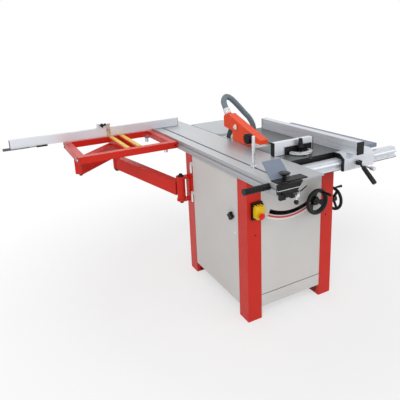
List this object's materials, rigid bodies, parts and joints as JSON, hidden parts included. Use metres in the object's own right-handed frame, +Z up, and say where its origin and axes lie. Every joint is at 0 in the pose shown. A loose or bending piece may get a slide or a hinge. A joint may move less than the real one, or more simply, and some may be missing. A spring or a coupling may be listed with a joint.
{
  "type": "sliding table saw",
  "caption": "Floor-standing sliding table saw: cabinet on corner legs, cast table, sliding carriage with outrigger on a swinging arm, rip fence, mitre gauge and guarded tilting blade.",
  "frame": {"origin": "on the floor, midway between the four legs' bolt holes", "axes": "+X to the operator's right across the cut, +Y along the cut away from the operator, +Z up"},
  "size_m": [1.94, 1.654, 1.1076],
  "materials": {
    "red_paint": "gloss",
    "grey_paint": "satin",
    "dark_steel": "matte",
    "black_paint": "satin",
    "aluminium": "satin",
    "cast_table": "machined",
    "insert_alloy": "satin",
    "blue_grey_paint": "satin",
    "light_grey_paint": "satin",
    "black_plastic": "gloss",
    "yellow_plastic": "gloss",
    "red_plastic": "gloss",
    "green_plastic": "gloss",
    "white_metal": "satin",
    "bright_steel": "polished",
    "guard_plastic": "gloss",
    "motor_paint": "satin",
    "hose_rubber": "matte"
  },
  "bodies": {
    "base": {"left_legs": "red_paint", "right_legs": "red_paint", "front_panel": "grey_paint", "right_panel": "grey_paint", "rear_panel": "grey_paint", "chip_pan": "grey_paint", "top_frame": "dark_steel", "rail_brackets": "black_paint", "slide_rail": "aluminium", "main_table": "cast_table", "table_insert": "insert_alloy", "table_wing": "blue_grey_paint", "rear_table": "light_grey_paint", "front_rail": "aluminium", "rail_backing": "black_paint", "switch_plate": "black_plastic", "trunnions": "dark_steel", "arm_bracket": "red_paint", "dust_port": "black_plastic", "door_hinges": "white_metal", "guard_hose": "hose_rubber"},
    "door": {"side_door": "grey_paint"},
    "door_knob": {"door_knob": "black_plastic"},
    "switch_cover": {"switch_cover": "yellow_plastic"},
    "stop_button": {"stop_button": "red_plastic"},
    "start_button": {"start_button": "green_plastic"},
    "lock_lever": {"lock_lever": "bright_steel"},
    "roller_cage": {"roller_cage": "bright_steel"},
    "sliding_table": {"carriage": "aluminium", "carriage_end_cap": "black_plastic", "push_grip": "black_plastic", "edging_shoe": "blue_grey_paint", "clamp_post": "bright_steel", "outrigger_frame": "red_paint", "outrigger_strips": "yellow_plastic", "outrigger_clamps": "bright_steel"},
    "shoe_knob": {"shoe_knob": "black_plastic"},
    "fence_knob": {"fence_pivot_knob": "black_plastic"},
    "crosscut_fence": {"crosscut_fence": "aluminium"},
    "fence_extension": {"fence_extension": "black_paint"},
    "flip_stop": {"stop_carrier": "aluminium"},
    "stop_flap": {"stop_flap": "bright_steel"},
    "arm_lower": {"arm_lower": "red_paint"},
    "arm_upper": {"arm_upper": "red_paint"},
    "rip_fence": {"rip_fence": "aluminium", "rip_head": "aluminium"},
    "rip_lever": {"rip_lever": "black_plastic"},
    "fine_knob": {"fine_knob": "aluminium"},
    "mitre_bar": {"mitre_bar": "bright_steel"},
    "mitre_head": {"mitre_head": "black_plastic", "mitre_fence": "aluminium"},
    "tilt_unit": {"tilt_frame": "dark_steel", "riving_knife": "dark_steel", "guard_hood": "guard_plastic"},
    "guard_knob": {"guard_knob": "black_plastic"},
    "guard_flap": {"guard_flap": "guard_plastic"},
    "motor_unit": {"motor_unit": "motor_paint"},
    "saw_blade": {"saw_blade": "bright_steel"},
    "height_wheel": {"height_wheel": "black_plastic"},
    "tilt_wheel": {"tilt_wheel": "black_plastic"}
  },
  "joints": [
    {"name": "table_slide", "type": "slide", "parent": "base", "child": "sliding_table", "axis": [0, 1, 0], "range_m": [-0.85, 0.25]},
    {"name": "roller_travel", "type": "slide", "parent": "base", "child": "roller_cage", "axis": [0, 1, 0], "range_m": [-0.43, 0.13]},
    {"name": "arm_swing", "type": "hinge", "parent": "base", "child": "arm_lower", "pos_m": [-0.33, 0.324, 0.56], "axis": [0, 0, 1], "range_deg": [-27, 88]},
    {"name": "arm_elbow", "type": "hinge", "parent": "arm_lower", "child": "arm_upper", "pos_m": [-0.581, 0.826, 0.75], "axis": [0, 0, 1], "range_deg": [-60, 10]},
    {"name": "fence_swing", "type": "hinge", "parent": "sliding_table", "child": "crosscut_fence", "pos_m": [-0.143, 0.849, 0.855], "axis": [0, 0, 1], "range_deg": [0, 45]},
    {"name": "fence_knob_turn", "type": "hinge", "parent": "sliding_table", "child": "fence_knob", "pos_m": [-0.143, 0.849, 0.87], "axis": [0, 0, 1], "continuous": true},
    {"name": "extension_slide", "type": "slide", "parent": "crosscut_fence", "child": "fence_extension", "axis": [-1, 0, 0], "range_m": [0, 0.15]},
    {"name": "stop_slide", "type": "slide", "parent": "crosscut_fence", "child": "flip_stop", "axis": [1, 0, 0], "range_m": [-0.52, 0.42]},
    {"name": "stop_flip", "type": "hinge", "parent": "flip_stop", "child": "stop_flap", "pos_m": [-0.627, 0.797, 0.932], "axis": [-1, 0, 0], "range_deg": [0, 90]},
    {"name": "shoe_knob_turn", "type": "hinge", "parent": "sliding_table", "child": "shoe_knob", "pos_m": [-0.235, -0.566, 0.87], "axis": [0, 0, 1], "continuous": true},
    {"name": "door_swing", "type": "hinge", "parent": "base", "child": "door", "pos_m": [-0.287, 0.259, 0.43], "axis": [0, 0, -1], "range_deg": [0, 90]},
    {"name": "door_knob_turn", "type": "hinge", "parent": "door", "child": "door_knob", "pos_m": [-0.281, -0.197, 0.561], "axis": [1, 0, 0], "continuous": true},
    {"name": "switch_cover_lift", "type": "hinge", "parent": "base", "child": "switch_cover", "pos_m": [-0.226, -0.3526, 0.65813], "axis": [-1, 0, 0], "range_deg": [0, 80]},
    {"name": "stop_press", "type": "slide", "parent": "switch_cover", "child": "stop_button", "axis": [0, 1, 0], "range_m": [0, 0.0035], "stiffness_N_per_m": 800},
    {"name": "start_press", "type": "slide", "parent": "base", "child": "start_button", "axis": [0, 1, 0], "range_m": [0, 0.0025], "stiffness_N_per_m": 800},
    {"name": "lock_turn", "type": "hinge", "parent": "base", "child": "lock_lever", "pos_m": [-0.214, -0.616, 0.797], "axis": [0, 1, 0], "range_deg": [-30, 60]},
    {"name": "rip_slide", "type": "slide", "parent": "base", "child": "rip_fence", "axis": [1, 0, 0], "range_m": [-0.065, 0.17]},
    {"name": "rip_lever_turn", "type": "hinge", "parent": "rip_fence", "child": "rip_lever", "pos_m": [0.349, -0.444, 0.796], "axis": [-1, 0, 0], "range_deg": [0, 70]},
    {"name": "fine_turn", "type": "hinge", "parent": "rip_fence", "child": "fine_knob", "pos_m": [0.39, -0.45, 0.77], "axis": [0, 1, 0], "continuous": true},
    {"name": "mitre_slide", "type": "slide", "parent": "base", "child": "mitre_bar", "axis": [0, 1, 0], "range_m": [-0.1, 0.1]},
    {"name": "mitre_swivel", "type": "hinge", "parent": "mitre_bar", "child": "mitre_head", "pos_m": [0.101, -0.262, 0.86], "axis": [0, 0, 1], "range_deg": [-45, 45]},
    {"name": "tilt_turn", "type": "hinge", "parent": "base", "child": "tilt_wheel", "pos_m": [0.392, -0.228, 0.517], "axis": [1, 0, 0], "range_deg": [0, 3600]},
    {"name": "blade_tilt", "type": "hinge", "parent": "base", "child": "tilt_unit", "pos_m": [-0.012, 0, 0.85], "axis": [0, 1, 0], "range_deg": [0, 45]},
    {"name": "height_turn", "type": "hinge", "parent": "tilt_unit", "child": "height_wheel", "pos_m": [0.129, -0.38, 0.60578], "axis": [0, 1, 0], "range_deg": [-3600, 0]},
    {"name": "blade_raise", "type": "slide", "parent": "tilt_unit", "child": "motor_unit", "axis": [0, 0, 1], "range_m": [-0.075, 0]},
    {"name": "blade_spin", "type": "hinge", "parent": "motor_unit", "child": "saw_blade", "pos_m": [-0.012, 0.125, 0.8], "axis": [1, 0, 0], "continuous": true},
    {"name": "guard_knob_turn", "type": "hinge", "parent": "tilt_unit", "child": "guard_knob", "pos_m": [-0.055, -0.018, 0.902], "axis": [1, 0, 0], "continuous": true},
    {"name": "flap_lift", "type": "hinge", "parent": "tilt_unit", "child": "guard_flap", "pos_m": [-0.012, -0.018, 0.902], "axis": [-1, 0, 0], "range_deg": [0, 35]}
  ],
  "couplings": [
    {"joint": "roller_travel", "follows": "table_slide", "ratio": 0.5},
    {"joint": "arm_swing", "follows": "table_slide", "rad_per_m": -1.6755},
    {"joint": "arm_elbow", "follows": "table_slide", "rad_per_m": 0.4189},
    {"joint": "tilt_turn", "follows": "blade_tilt", "ratio": 80},
    {"joint": "height_turn", "follows": "blade_raise", "rad_per_m": 837.75}
  ]
}
